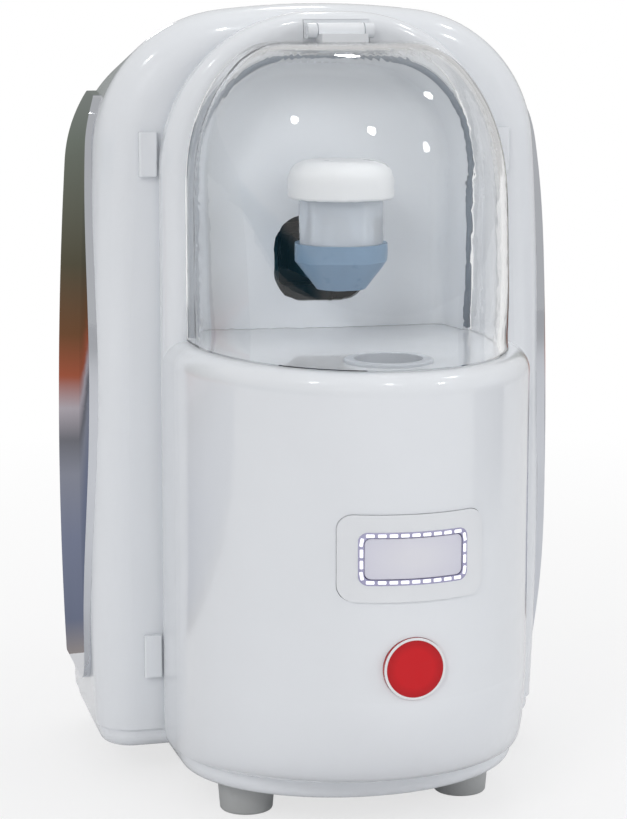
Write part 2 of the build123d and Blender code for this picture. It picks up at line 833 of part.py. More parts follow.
with BuildPart() as pivot_pin:
    add(lengthwise(pivot_pin_radius, -cheek_outer - pin_end, cheek_outer + pin_end, pivot_y, pivot_z))
keep(pivot_pin, "pivot_pin")

with BuildPart() as shaft_bearings:
    for low in (cheek_inner, -cheek_outer):
        add(lengthwise(bearing_radius, low, low + cheek_thickness, pivot_y, crank_z))
    add(lengthwise(shaft_radius + running, -cut_reach, cut_reach, pivot_y, crank_z), mode=Mode.SUBTRACT)
keep(shaft_bearings, "shaft_bearings")

shaft_in_motor = 28.0
shaft_end = cheek_outer + shaft_in_motor
shaft_bore = shaft_radius + running
motor_end = cheek_outer + motor_length
motor_round = 1.5
motor_boss_radius = 5.0
motor_boss_length = 3.0
with BuildPart() as motor_can:
    add(lengthwise(motor_radius, cheek_outer, motor_end, pivot_y, crank_z))
    fillet(motor_can.edges().filter_by(GeomType.CIRCLE), radius=motor_round)
    add(lengthwise(motor_boss_radius, motor_end, motor_end + motor_boss_length, pivot_y, crank_z))
    add(lengthwise(shaft_bore, cheek_outer - 1, shaft_end + 1, pivot_y, crank_z), mode=Mode.SUBTRACT)
keep(motor_can, "motor_can")

# Rotor: shaft, eccentric and counterweight
weight_gap = 2.0
weight_near = -cheek_outer - weight_gap
weight_thickness = 5.0
weight_far = weight_near - weight_thickness
weight_hub_radius = 6.0
with BuildPart() as motor_shaft:
    add(lengthwise(shaft_radius, weight_far, shaft_end, pivot_y, crank_z))
keep(motor_shaft, "motor_shaft")

with BuildPart() as eccentric:
    add(lengthwise(eccentric_radius, -arm_half + 1, arm_half - 1, pivot_y, crank_z + crank_throw))
    add(lengthwise(shaft_radius, -cut_reach, cut_reach, pivot_y, crank_z), mode=Mode.SUBTRACT)
keep(eccentric, "eccentric")

weight_radius = 15.0
with BuildPart() as counterweight:
    add(lengthwise(weight_radius, weight_far, weight_near, pivot_y, crank_z))
    upper_half = (pivot_y - weight_radius, pivot_y + weight_radius, crank_z, crank_z + weight_radius)
    add(block(-cut_reach, 0, *upper_half), mode=Mode.SUBTRACT)
    add(lengthwise(weight_hub_radius, weight_far, weight_near, pivot_y, crank_z))
    add(lengthwise(shaft_radius, -cut_reach, 0, pivot_y, crank_z), mode=Mode.SUBTRACT)
keep(counterweight, "counterweight")

# Arm: hub, tapered beam with the cup's ring, and the fork that straddles the eccentric
fork_gap = eccentric_radius + 2 * crank_throw + clearance
fork_wall = 4.0
fork_drop = 7.0
beam_height = 12.0
beam_shoulder_y = pivot_y - 18.0
beam_end_y = cup_y + 3.0
neck_half = 6.5
post_half = 7.0
crosshead_gap = 3.2
crosshead_height = 6.0
crosshead_z = crank_z + crank_throw + eccentric_radius + crosshead_gap
with BuildPart() as mixing_arm:
    with BuildSketch(Plane.XY.offset(ring_bottom)):
        with BuildLine():
            Polyline(
                (-arm_half, pivot_y),
                (-neck_half, beam_shoulder_y),
                (-neck_half, beam_end_y),
                (neck_half, beam_end_y),
                (neck_half, beam_shoulder_y),
                (arm_half, pivot_y),
                close=True,
            )
        make_face()
    extrude(amount=beam_height)
    with Locations((0, cup_y, ring_bottom - holder_foot)):
        Cone(holder_foot_radius, ring_radius, cup_bottom - ring_bottom + holder_foot, align=upright)
    with Locations((0, cup_y, cup_bottom)):
        Cylinder(ring_radius, ring_top - cup_bottom, align=upright)
    add(lengthwise(hub_radius, -arm_half, arm_half, pivot_y, pivot_z))
    add(block(-arm_half, arm_half, pivot_y - post_half, pivot_y + post_half, crosshead_z, pivot_z))
    reach = fork_gap + fork_wall
    crosshead = (pivot_y - reach, pivot_y + reach, crosshead_z, crosshead_z + crosshead_height)
    add(block(-arm_half, arm_half, *crosshead))
    for side in (-1, 1):
        near = pivot_y + side * fork_gap
        far = pivot_y + side * reach
        add(block(-arm_half, arm_half, min(near, far), max(near, far), crank_z - fork_drop, crosshead_z + 1))
    add(lengthwise(bush_radius, -cut_reach, cut_reach, pivot_y, pivot_z), mode=Mode.SUBTRACT)
    with Locations((0, cup_y, cup_bottom)):
        Cylinder(cup_radius + seat, cup_height, align=upright, mode=Mode.SUBTRACT)
keep(mixing_arm, "mixing_arm")

with BuildPart() as arm_bush:
    add(lengthwise(bush_radius, -arm_half, arm_half, pivot_y, pivot_z))
    add(lengthwise(pivot_pin_radius + running, -cut_reach, cut_reach, pivot_y, pivot_z), mode=Mode.SUBTRACT)
keep(arm_bush, "arm_bush")

cup_top = cup_bottom + cup_height
with BuildPart() as capsule_cup:
    with Locations((0, cup_y, cup_bottom)):
        Cylinder(cup_radius, cup_height, align=upright)
    with Locations((0, cup_y, cup_top)):
        Cylinder(capsule_radius, capsule_depth, align=hanging, mode=Mode.SUBTRACT)
keep(capsule_cup, "capsule_cup")

cap_skirt = 3.0
cap_base = cup_top + seat - cap_skirt
cap_crown_round = 7.5
cap_rim_round = 1.0
with BuildPart() as clamp_cap:
    with Locations((0, cup_y, cap_base)):
        Cylinder(cap_radius, cap_height, align=upright)
    fillet(clamp_cap.edges().group_by(Axis.Z)[-1], radius=cap_crown_round)
    fillet(clamp_cap.edges().group_by(Axis.Z)[0], radius=cap_rim_round)
    with Locations((0, cup_y, cap_base)):
        Cylinder(cup_radius + clearance, cap_skirt, align=upright, mode=Mode.SUBTRACT)
keep(clamp_cap, "clamp_cap")

# Mains module, fuse drawer and switch on the rear panel
module_rim_corner = 3.0
socket_width = 24.4
socket_height = 17.0
socket_corner = 4.0
socket_depth = 15.0
socket_z = inlet_z + 6.0
pin_places = ((-7.0, -1.0), (7.0, -1.0), (0.0, 3.0))
pin_width = 2.0
pin_height = 4.0
pin_corner = 0.4
pin_set_back = 1.5
drawer_width = 24.0
drawer_height = 8.0
drawer_depth = 16.0
drawer_z = inlet_z - 14.0
drawer_slot_corner = 0.8
drawer_corner = 0.6
drawer_gap = 0.2
pocket_margin = 2.0
pocket_rear = 1.5
fuse_radius = 2.5
fuse_half = 9.8
fuse_set_back = 8.0
fuse_lift = 0.6
with BuildPart() as mains_inlet:
    rim = slot_face(module_width, module_height, module_rim_corner, inlet_x, inlet_z)
    add(through(rim, rear_y, rear_y + module_proud))
    body = slot_face(module_neck_width - seat, module_neck_height - seat, module_corner, inlet_x, inlet_z)
    add(through(body, rear_y - module_depth, rear_y))
    socket = slot_face(socket_width, socket_height, socket_corner, inlet_x, socket_z)
    add(through(socket, rear_y - socket_depth, rear_y + 2), mode=Mode.SUBTRACT)
    drawer_slot = slot_face(drawer_width, drawer_height, drawer_slot_corner, inlet_x, drawer_z)
    add(through(drawer_slot, rear_y - drawer_depth - clearance, rear_y + 2), mode=Mode.SUBTRACT)
keep(mains_inlet, "mains_inlet")

with BuildPart() as inlet_pins:
    for x, z in pin_places:
        pin = slot_face(pin_width, pin_height, pin_corner, inlet_x + x, socket_z + z)
        add(through(pin, rear_y - socket_depth, rear_y - pin_set_back))
keep(inlet_pins, "inlet_pins")

with BuildPart() as fuse_drawer:
    drawer_face_width = drawer_width - 2 * drawer_gap
    drawer_face_height = drawer_height - 2 * drawer_gap
    tray_face = slot_face(drawer_face_width, drawer_face_height, drawer_corner, inlet_x, drawer_z)
    add(through(tray_face, rear_y - drawer_depth, rear_y + module_proud))
    pocket_x = drawer_width / 2 - pocket_margin
    pocket_deep = rear_y - drawer_depth + pocket_rear
    add(
        block(inlet_x - pocket_x, inlet_x + pocket_x, pocket_deep, rear_y - pocket_margin,
              drawer_z - drawer_height / 2 + pocket_margin, drawer_z + drawer_height),
        mode=Mode.SUBTRACT,
    )
keep(fuse_drawer, "fuse_drawer")

with BuildPart() as fuse:
    fuse_y = rear_y - fuse_set_back
    add(lengthwise(fuse_radius, inlet_x - fuse_half, inlet_x + fuse_half, fuse_y, drawer_z + fuse_lift))
keep(fuse, "fuse")

switch_rim_corner = 2.0
switch_depth_behind = 14.0
rocker_half = 11.0
rocker_width = 15.0
rocker_tilt = 8.0
rocker_set_back = 3.0
rocker_y = rear_y - rocker_set_back
rocker_well_gap = 0.8
rocker_well_corner = 0.6
rocker_well_depth = 9.0
rocker_pin_radius = 1.5
rocker_pin_half = 8.6
with BuildPart() as switch_frame:
    rim = slot_face(switch_width, switch_height, switch_rim_corner, switch_x, switch_z)
    add(through(rim, rear_y, rear_y + module_proud))
    body = slot_face(switch_neck_width - seat, switch_neck_height - seat, switch_corner, switch_x, switch_z)
    add(through(body, rear_y - switch_depth_behind, rear_y))
    well_height = 2 * (rocker_half + rocker_well_gap)
    well_face = slot_face(rocker_width + 2 * clearance, well_height, rocker_well_corner, switch_x, switch_z)
    add(through(well_face, rear_y - rocker_well_depth, rear_y + 2), mode=Mode.SUBTRACT)
    pin_low = switch_x - rocker_pin_half
    add(lengthwise(rocker_pin_radius, pin_low, pin_low + 2 * rocker_pin_half, rocker_y, switch_z))
keep(switch_frame, "switch_frame")

rocker_front_end = rocker_y + 1.0
rocker_front_middle = rocker_y + 2.6
rocker_rear_end = rocker_y - 2.0
rocker_rear_middle = rocker_y - 3.4
with BuildPart() as mains_rocker:
    with BuildSketch(Plane.YZ.offset(switch_x - rocker_width / 2)):
        with BuildLine():
            Polyline(
                (rocker_front_end, switch_z - rocker_half),
                (rocker_front_middle, switch_z),
                (rocker_front_end, switch_z + rocker_half),
                (rocker_rear_end, switch_z + rocker_half),
                (rocker_rear_middle, switch_z),
                (rocker_rear_end, switch_z - rocker_half),
                close=True,
            )
        make_face()
    extrude(amount=rocker_width)
    add(lengthwise(rocker_pin_radius + running, 0, cut_reach, rocker_y, switch_z), mode=Mode.SUBTRACT)
mains_rocker.part = mains_rocker.part.rotate(
    Axis((0, rocker_y, switch_z), (1, 0, 0)), -rocker_tilt
)
keep(mains_rocker, "mains_rocker")
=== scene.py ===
# %% [markdown]
# # A dental capsule mixer
#
# The machine stands on four rubber feet. A glossy white front shell carries a start button in a lit
# frame and a round badge. A clear hood closes over a shallow arched chamber, where an arm shakes a
# clear cup with a white cap. Chromed wings cover the sides of the rear shell.
#
# The solids come from the CAD model. They already stand in the right place and ride on their bodies,
# so this script gives them their finishes and adds the small pieces that are easier to shape here.

# %% Load the frame
import math

import bmesh
import bpy
from mathutils import Matrix, Vector


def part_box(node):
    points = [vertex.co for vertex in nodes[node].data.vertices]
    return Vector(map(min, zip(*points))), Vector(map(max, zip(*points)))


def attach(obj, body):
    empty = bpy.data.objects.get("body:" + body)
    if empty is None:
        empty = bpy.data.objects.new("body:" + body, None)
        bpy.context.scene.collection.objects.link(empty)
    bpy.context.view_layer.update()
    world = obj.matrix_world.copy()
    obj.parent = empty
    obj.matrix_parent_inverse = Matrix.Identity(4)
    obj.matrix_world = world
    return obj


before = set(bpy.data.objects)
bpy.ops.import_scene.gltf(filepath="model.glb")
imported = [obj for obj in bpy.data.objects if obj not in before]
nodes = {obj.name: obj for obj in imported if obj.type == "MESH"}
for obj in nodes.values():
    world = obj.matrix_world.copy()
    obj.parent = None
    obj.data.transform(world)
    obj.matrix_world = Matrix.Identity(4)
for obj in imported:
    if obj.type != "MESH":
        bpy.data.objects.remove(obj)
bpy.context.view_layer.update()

# %% [markdown]
# ## A helper for finishes
#
# Every finish here is moulded plastic, plated metal, clear acrylic or rubber. They share one recipe:
# a Principled shader, a noise that changes its roughness a little, as handling does, and a finer noise
# for the skin of the mould. One function builds that recipe, because the finishes differ only in
# colour, gloss and grain. The patterns read Object coordinates, so they stay on a piece when it moves.

# %% The shared recipe
MM = 0.001
broad_scale = 22.0
handling_scale = 45.0


def start_material(name):
    """An empty node material with a Principled shader and Object coordinates."""
    material = bpy.data.materials.new(name)
    material.use_nodes = True
    tree = material.node_tree
    shader = tree.nodes["Principled BSDF"]
    place = tree.nodes.new("ShaderNodeTexCoord").outputs["Object"]
    return material, tree, shader, place


def noise(tree, place, scale, detail=3.0):
    """A noise on the piece's own coordinates. The scale is in waves per metre."""
    node = tree.nodes.new("ShaderNodeTexNoise")
    node.inputs["Scale"].default_value = scale
    node.inputs["Detail"].default_value = detail
    tree.links.new(place, node.inputs["Vector"])
    return node.outputs["Fac"]


def spread(tree, value, low, high, start=0.3, end=0.7):
    """Maps a value to the range between low and high. Most of a noise lies between 0.3 and 0.7."""
    node = tree.nodes.new("ShaderNodeMapRange")
    node.inputs["From Min"].default_value = start
    node.inputs["From Max"].default_value = end
    node.inputs["To Min"].default_value = low
    node.inputs["To Max"].default_value = high
    tree.links.new(value, node.inputs["Value"])
    return node.outputs["Result"]


def tint(tree, value, first, second):
    """A colour between two, chosen by a value from 0 to 1."""
    node = tree.nodes.new("ShaderNodeMix")
    node.data_type = "RGBA"
    node.inputs["A"].default_value = (*first, 1)
    node.inputs["B"].default_value = (*second, 1)
    tree.links.new(value, node.inputs["Factor"])
    return node.outputs["Result"]


def grain(tree, shader, value, height):
    """Raises the surface by a noise, by so many metres."""
    node = tree.nodes.new("ShaderNodeBump")
    node.inputs["Strength"].default_value = 1.0
    node.inputs["Distance"].default_value = height
    tree.links.new(value, node.inputs["Height"])
    tree.links.new(node.outputs["Normal"], shader.inputs["Normal"])


def finish(name, colour, roughness, metallic=0.0, skin=900.0, skin_height=0.00002, shade=0.03, coat=0.0,
           transmission=0.0, ior=1.5):
    """A finish with slight changes of shade and gloss and the fine skin of its mould or plating."""
    material, tree, shader, place = start_material(name)
    shader.inputs["Metallic"].default_value = metallic
    shader.inputs["IOR"].default_value = ior
    shader.inputs["Coat Weight"].default_value = coat
    shader.inputs["Transmission Weight"].default_value = transmission
    darker = tuple(c * (1 - shade) for c in colour)
    lighter = tuple(min(1.0, c * (1 + shade)) for c in colour)
    broad = spread(tree, noise(tree, place, broad_scale), 0.0, 1.0)
    tree.links.new(tint(tree, broad, darker, lighter), shader.inputs["Base Color"])
    handled = noise(tree, place, handling_scale, detail=5.0)
    tree.links.new(spread(tree, handled, roughness * 0.85, roughness * 1.2), shader.inputs["Roughness"])
    grain(tree, shader, noise(tree, place, skin), skin_height)
    return material


def dress(material, *names):
    """Gives CAD nodes a finish through their objects' material slots."""
    for name in names:
        node = nodes[name]
        for slot in node.material_slots:
            slot.link = "OBJECT"
            slot.material = material
    print(material.name, "on", ", ".join(names))


# %% [markdown]
# ## The white shells
#
# The real casing is injection-moulded ABS with a glossy, cool white lacquer. A texture could show the
# reflections, but then they would slide in other views. So the shader stays plain white with a clear
# coat, and the lamps draw the highlights. The skin has the faint orange peel that lacquer shows.

# %% Casing finishes
white_lacquer = finish("white_lacquer", (0.8, 0.825, 0.86), 0.16, coat=0.6, skin=420.0,
                       skin_height=0.000012, shade=0.012)
dress(white_lacquer, "front_shell", "rear_shell", "seam_clips", "base_tray", "hinge_bracket")
chamber_white = finish("chamber_white", (0.85, 0.88, 0.915), 0.22, coat=0.3, skin=600.0,
                       skin_height=0.00001, shade=0.015)
dress(chamber_white, "chamber_liner")
cap_white = finish("cap_white", (0.78, 0.795, 0.81), 0.3, skin=1500.0, shade=0.01)
dress(cap_white, "clamp_cap")
# The well's mid-grey is painted shade for the shade inside the well.
well_painted_shade = finish("well_painted_shade", (0.5, 0.53, 0.57), 0.3, skin=1500.0, shade=0.05)
dress(well_painted_shade, "capsule_well")

# %% [markdown]
# ## Chrome, clear acrylic and rubber
#
# The wings are plated plastic and mirror the room, so they are a smooth metal with a few fine hazes
# from wiping. The hood is thin clear acrylic, which needs real refraction to show its edges as the
# bright double lines of the photograph. A refracting solid throws a full shadow here, although clear
# acrylic throws almost none, so the hood's shadow is off and the lamps light the chamber. The knuckle
# on the hood is the same plastic, frosted. The feet are grey rubber with a dusty skin.

# %% Wings, hood, cup and feet
wing_chrome = finish("wing_chrome", (0.66, 0.68, 0.72), 0.045, metallic=1.0, skin=260.0,
                     skin_height=0.000006, shade=0.04)
dress(wing_chrome, "left_wing", "right_wing")
clear_acrylic = finish("clear_acrylic", (0.99, 0.995, 1.0), 0.012, transmission=1.0, ior=1.49, skin=60.0,
                       skin_height=0.000003, shade=0.002)
dress(clear_acrylic, "hood_cover")
frosted_acrylic = finish("frosted_acrylic", (0.88, 0.9, 0.925), 0.3, transmission=0.15, ior=1.4, skin=700.0,
                         shade=0.02)
dress(frosted_acrylic, "hood_knuckle")
cup_acrylic = finish("cup_acrylic", (0.86, 0.91, 0.97), 0.12, transmission=0.6, ior=1.4, skin=300.0,
                     skin_height=0.00001, shade=0.03)
dress(cup_acrylic, "capsule_cup")
for clear_piece in ("hood_cover", "hood_knuckle", "capsule_cup"):
    nodes[clear_piece].visible_shadow = False
grey_rubber = finish("grey_rubber", (0.46, 0.47, 0.47), 0.6, skin=2400.0, skin_height=0.00006, shade=0.08)
dress(grey_rubber, "foot_front_left", "foot_front_right", "foot_rear_left", "foot_rear_right")

# %% [markdown]
# ## Inside the machine
#
# The arm is a blue-grey moulding. Where it runs behind the hole its colour turns dark blue-green, which is
# painted shade for the dark inside of the machine. Two materials would leave a hard line on the beam, so
# one material changes its colour along Y.

# %% The arm
painted_shade_start = 5 * MM
painted_shade_end = 14 * MM


def axes(tree, vector):
    """The X, Y and Z of a vector."""
    node = tree.nodes.new("ShaderNodeSeparateXYZ")
    tree.links.new(vector, node.inputs["Vector"])
    return node.outputs


def arm_paint_and_shade():
    """Blue-grey at the holder, and painted shade in dark blue-green from where the beam enters the hole."""
    material, tree, shader, place = start_material("arm_paint_and_shade")
    into_painted_shade = spread(tree, axes(tree, place)["Y"], 0.0, 1.0, painted_shade_start, painted_shade_end)
    # The dark blue-green is painted shade for the dark inside of the machine.
    tree.links.new(tint(tree, into_painted_shade, (0.2, 0.3, 0.42), (0.003, 0.022, 0.036)), shader.inputs["Base Color"])
    shader.inputs["Specular IOR Level"].default_value = 0.22
    tree.links.new(spread(tree, noise(tree, place, 200.0), 0.26, 0.36), shader.inputs["Roughness"])
    grain(tree, shader, noise(tree, place, 1400.0), 0.00003)
    return material


dress(arm_paint_and_shade(), "mixing_arm")

# %% [markdown]
# The bush, the eccentric and the bearings are brass, and the shaft, pins and screws are steel. The
# chassis is zinc-plated sheet with a blue-black finish, and the motor can and counterweight are dark steel;
# these dark tones are partly painted shade for the dark inside of the machine. Zinc grows in small
# crystals, so its colour follows the cells of a Voronoi texture instead of a soft noise.

# %% Metals and black mouldings
bright_steel = finish("bright_steel", (0.6, 0.61, 0.63), 0.2, metallic=1.0, skin=1800.0, shade=0.06)
dress(bright_steel, "motor_shaft", "pivot_pin", "housing_screws", "foot_screws", "board_screws",
      "inlet_pins")
satin_steel = finish("satin_steel", (0.84, 0.85, 0.87), 0.42, metallic=1.0, skin=1500.0, shade=0.03)
dress(satin_steel, "hinge_pin")
# The dark steel of the can and counterweight is partly painted shade for the dark inside of the machine.
dark_steel_and_shade = finish("dark_steel_and_shade", (0.02, 0.035, 0.048), 0.38, metallic=1.0, skin=900.0, shade=0.15)
dress(dark_steel_and_shade, "counterweight", "motor_can")
bearing_brass = finish("bearing_brass", (0.72, 0.5, 0.22), 0.27, metallic=1.0, skin=1200.0, shade=0.1)
dress(bearing_brass, "eccentric", "shaft_bearings", "arm_bush")
black_plastic = finish("black_plastic", (0.022, 0.022, 0.024), 0.42, skin=2600.0, skin_height=0.00005,
                       shade=0.2)
dress(black_plastic, "mains_inlet", "fuse_drawer", "switch_frame", "mains_rocker", "board_components")


def zinc_sheet_and_shade():
    """Blued zinc sheet: flat crystals a few millimetres wide in slightly different dark tones, partly
    painted shade.
    """
    material, tree, shader, place = start_material("zinc_sheet_and_shade")
    shader.inputs["Metallic"].default_value = 1.0
    cells = tree.nodes.new("ShaderNodeTexVoronoi")
    cells.inputs["Scale"].default_value = 190.0
    tree.links.new(place, cells.inputs["Vector"])
    crystal = tree.nodes.new("ShaderNodeSeparateColor")
    tree.links.new(cells.outputs["Color"], crystal.inputs["Color"])
    # These dark tones are partly painted shade.
    shades = tint(tree, crystal.outputs["Red"], (0.012, 0.035, 0.05), (0.025, 0.06, 0.08))
    tree.links.new(shades, shader.inputs["Base Color"])
    tree.links.new(spread(tree, crystal.outputs["Green"], 0.26, 0.44, 0.0, 1.0), shader.inputs["Roughness"])
    grain(tree, shader, noise(tree, place, 1500.0), 0.00002)
    return material


dress(zinc_sheet_and_shade(), "chassis", "board_bracket")

# %% [markdown]
# ## The circuit board and the fuse
#
# A board is green lacquer over copper tracks, and the tracks show as slightly raised, lighter lines.
# A Brick texture draws rows of short lines, which is close to a simple board's routing. The fuse is a
# glass tube between two caps, so its material changes along X.

# %% Board and fuse
glass_half = 5.8 * MM
cap_edge = 0.4 * MM


def board_lacquer():
    """Green lacquer with lighter, raised tracks."""
    material, tree, shader, place = start_material("board_lacquer")
    turn = tree.nodes.new("ShaderNodeMapping")
    turn.inputs["Rotation"].default_value = (math.radians(90), 0, 0)
    tree.links.new(place, turn.inputs["Vector"])
    tracks = tree.nodes.new("ShaderNodeTexBrick")
    tracks.inputs["Scale"].default_value = 60.0
    tracks.inputs["Mortar Size"].default_value = 0.03
    tracks.inputs["Color1"].default_value = (0.012, 0.11, 0.045, 1)
    tracks.inputs["Color2"].default_value = (0.016, 0.13, 0.05, 1)
    tracks.inputs["Mortar"].default_value = (0.05, 0.26, 0.1, 1)
    tree.links.new(turn.outputs["Vector"], tracks.inputs["Vector"])
    tree.links.new(tracks.outputs["Color"], shader.inputs["Base Color"])
    tree.links.new(spread(tree, noise(tree, place, 300.0), 0.22, 0.34), shader.inputs["Roughness"])
    grain(tree, shader, tracks.outputs["Fac"], 0.00004)
    return material


def combine(tree, operation, first, second=0.0):
    """A Math node on two values, each a socket or a number."""
    node = tree.nodes.new("ShaderNodeMath")
    node.operation = operation
    for socket, value in zip(node.inputs, (first, second)):
        if isinstance(value, (int, float)):
            socket.default_value = value
        else:
            tree.links.new(value, socket)
    return node.outputs["Value"]


def fuse_tube():
    """Bright caps at the ends and a smoky glass tube between them."""
    material, tree, shader, place = start_material("fuse_tube")
    low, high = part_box("fuse")
    off_centre = combine(tree, "SUBTRACT", axes(tree, place)["X"], (low[0] + high[0]) / 2)
    cap = spread(tree, combine(tree, "ABSOLUTE", off_centre), 0.0, 1.0, glass_half, glass_half + cap_edge)
    tree.links.new(tint(tree, cap, (0.5, 0.52, 0.5), (0.72, 0.72, 0.74)), shader.inputs["Base Color"])
    tree.links.new(cap, shader.inputs["Metallic"])
    tree.links.new(spread(tree, noise(tree, place, 400.0), 0.1, 0.22), shader.inputs["Roughness"])
    return material


dress(board_lacquer(), "circuit_board")
dress(fuse_tube(), "fuse")

# %% [markdown]
# ## The start button and its lit frame
#
# The button is a pale lilac, slightly translucent plate. The frame round it is a light guide: a
# blue-violet line with small white windows. Here the guide itself glows faintly, and the windows are
# separate lenses that are modelled further down, so that they catch the light from any side.

# %% Button, light guide and bezel
highlight_reach = 4 * MM
highlight_fade = 19 * MM
height_weight = 1.6


def from_centre(tree, place, centre, weights=(1, 1, 1)):
    """How far a point is from a centre, with each axis weighted."""
    centred = tree.nodes.new("ShaderNodeMapping")
    centred.inputs["Location"].default_value = tuple(-c for c in centre)
    tree.links.new(place, centred.inputs["Vector"])
    weighted = tree.nodes.new("ShaderNodeVectorMath")
    weighted.operation = "MULTIPLY"
    weighted.inputs[1].default_value = weights
    tree.links.new(centred.outputs["Vector"], weighted.inputs[0])
    away = tree.nodes.new("ShaderNodeVectorMath")
    away.operation = "LENGTH"
    tree.links.new(weighted.outputs["Vector"], away.inputs[0])
    return away.outputs["Value"]


def button_plate():
    """A lilac plate with a painted highlight that makes its middle a little lighter."""
    material, tree, shader, place = start_material("button_plate")
    low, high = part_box("start_button")
    centre = (low[0] + high[0]) / 2, 0, (low[2] + high[2]) / 2
    away = from_centre(tree, place, centre, (1, 0, height_weight))
    # Its lighter middle is a painted highlight.
    edge = spread(tree, away, 0.0, 1.0, highlight_reach, highlight_fade)
    tree.links.new(tint(tree, edge, (0.76, 0.76, 0.82), (0.68, 0.68, 0.78)), shader.inputs["Base Color"])
    tree.links.new(spread(tree, noise(tree, place, 200.0), 0.28, 0.36), shader.inputs["Roughness"])
    grain(tree, shader, noise(tree, place, 1800.0), 0.00001)
    return material


def light_guide():
    """A violet-grey guide with a faint, slightly uneven glow."""
    material, tree, shader, place = start_material("light_guide")
    uneven = spread(tree, noise(tree, place, 140.0), 0.0, 1.0)
    glow = tint(tree, uneven, (0.3, 0.29, 0.44), (0.4, 0.39, 0.55))
    tree.links.new(glow, shader.inputs["Base Color"])
    tree.links.new(glow, shader.inputs["Emission Color"])
    shader.inputs["Emission Strength"].default_value = 0.12
    tree.links.new(spread(tree, noise(tree, place, 300.0), 0.18, 0.3), shader.inputs["Roughness"])
    return material


dress(button_plate(), "start_button")
dress(light_guide(), "button_light")
bezel_pearl = finish("bezel_pearl", (0.79, 0.81, 0.84), 0.2, coat=0.4, skin=900.0, shade=0.015)
dress(bezel_pearl, "button_bezel")

# %% [markdown]
# ## The badge
#
# The front carries a small domed disc. It stays plain here: red enamel in a pale rim. The rim is a
# ring of its own, and painted shade makes the disc's enamel slightly darker towards its edge.

# %% Badge enamel
badge_low, badge_high = (Vector(corner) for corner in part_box("front_badge"))
badge_centre = (badge_low + badge_high) / 2
badge_centre.y = badge_low.y
badge_radius = (badge_high.x - badge_low.x) / 2
print("badge centre", tuple(round(c, 4) for c in badge_centre), "radius", round(badge_radius, 4))


def badge_enamel():
    """Red enamel with painted shade that darkens it towards its edge."""
    material, tree, shader, place = start_material("badge_enamel")
    away = from_centre(tree, place, badge_centre)
    edge = spread(tree, away, 0.0, 1.0, 0.6 * badge_radius, badge_radius)
    # The darker red towards the edge is painted shade.
    tree.links.new(tint(tree, edge, (0.62, 0.004, 0.01), (0.42, 0.003, 0.008)), shader.inputs["Base Color"])
    tree.links.new(spread(tree, noise(tree, place, 260.0), 0.1, 0.16), shader.inputs["Roughness"])
    shader.inputs["Specular IOR Level"].default_value = 0.3
    shader.inputs["Coat Weight"].default_value = 0.1
    grain(tree, shader, noise(tree, place, 500.0), 0.000008)
    return material


dress(badge_enamel(), "front_badge")

# %% [markdown]
# ## Helpers for new pieces
#
# Each new piece starts as a bmesh, is shaped by its operators, and ends as an object at the origin.
# Spinning can turn a shape inside out, so the doubles are merged and the normals recalculated.

# %% From a bmesh to a piece
same_point = 1e-6


def in_scene(name, shape, material):
    """An object in the scene, made from a bmesh."""
    mesh = bpy.data.meshes.new(name)
    shape.to_mesh(mesh)
    shape.free()
    mesh.materials.append(material)
    thing = bpy.data.objects.new(name, mesh)
    bpy.context.scene.collection.objects.link(thing)
    return thing


def piece(name, shape, material, body="casing", smooth=True):
    """Turns a bmesh into a finished piece that rides on a CAD body."""
    bmesh.ops.remove_doubles(shape, verts=shape.verts, dist=same_point)
    bmesh.ops.recalc_face_normals(shape, faces=shape.faces)
    thing = in_scene(name, shape, material)
    for face in thing.data.polygons:
        face.use_smooth = smooth
    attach(thing, body)
    print(name, "has", len(thing.data.vertices), "vertices, size mm",
          [round(d / MM, 1) for d in thing.dimensions])


# %% [markdown]
# ## The rim of the badge
#
# On the machine the badge is a domed label in a pale rim. A torus would be quicker, but its section is
# round, and this rim is flatter than it is wide. So an oval section is spun round the badge's axis.

# %% Badge rim
ring_steps = 64
section_corners = 12


def ring(shape, radius, thickness, height, centre, axis):
    """A rounded band round an axis, spun from its section."""
    axis = Vector(axis)
    across = axis.orthogonal().normalized()
    middle = Vector(centre) + across * radius
    loop = bmesh.ops.create_circle(shape, cap_ends=False, radius=1.0, segments=section_corners)["verts"]
    side = axis.cross(across)
    turn = Matrix((across * thickness / 2, axis * height / 2, side)).transposed()
    for vert in loop:
        vert.co = middle + turn @ vert.co
    edges = list({e for v in loop for e in v.link_edges})
    bmesh.ops.spin(shape, geom=loop + edges, cent=centre, axis=axis, angle=math.tau, steps=ring_steps,
                   use_merge=True)


rim_pale = finish("rim_pale", (0.82, 0.83, 0.85), 0.18, coat=0.5, skin=1200.0, shade=0.01)
rim_width = 0.9 * MM
rim_depth = 0.5 * MM
rim_sink = 0.1 * MM
rim_centre = badge_centre + Vector((0, rim_sink, 0))
shape = bmesh.new()
ring(shape, badge_radius - rim_width / 2, rim_width, rim_depth, rim_centre, (0, 1, 0))
piece("badge_rim", shape, rim_pale)

# %% [markdown]
# ## The lit windows round the button
#
# Small white lenses sit in the light guide, one every few millimetres. They run along a rounded
# rectangle on the nose, which is half an ellipse in plan. An array along a curve could place them, but
# it wouldn't end evenly, so the way round is measured and shared out first.

# %% The way round the guide
light_low, light_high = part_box("button_light")
button_low, button_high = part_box("start_button")
guide_middle = 0.5 * (light_high[0] + button_high[0]), 0.5 * (light_high[2] + button_high[2])
light_centre_z = (light_low[2] + light_high[2]) / 2
light_half_height = guide_middle[1] - light_centre_z
guide_corner = 2.6 * MM
straights = [2 * (guide_middle[0] - guide_corner), 2 * (light_half_height - guide_corner)] * 2
bend = guide_corner * math.pi / 2
way_round = sum(straights) + 4 * bend
print("way round the guide", round(way_round / MM, 1), "mm")


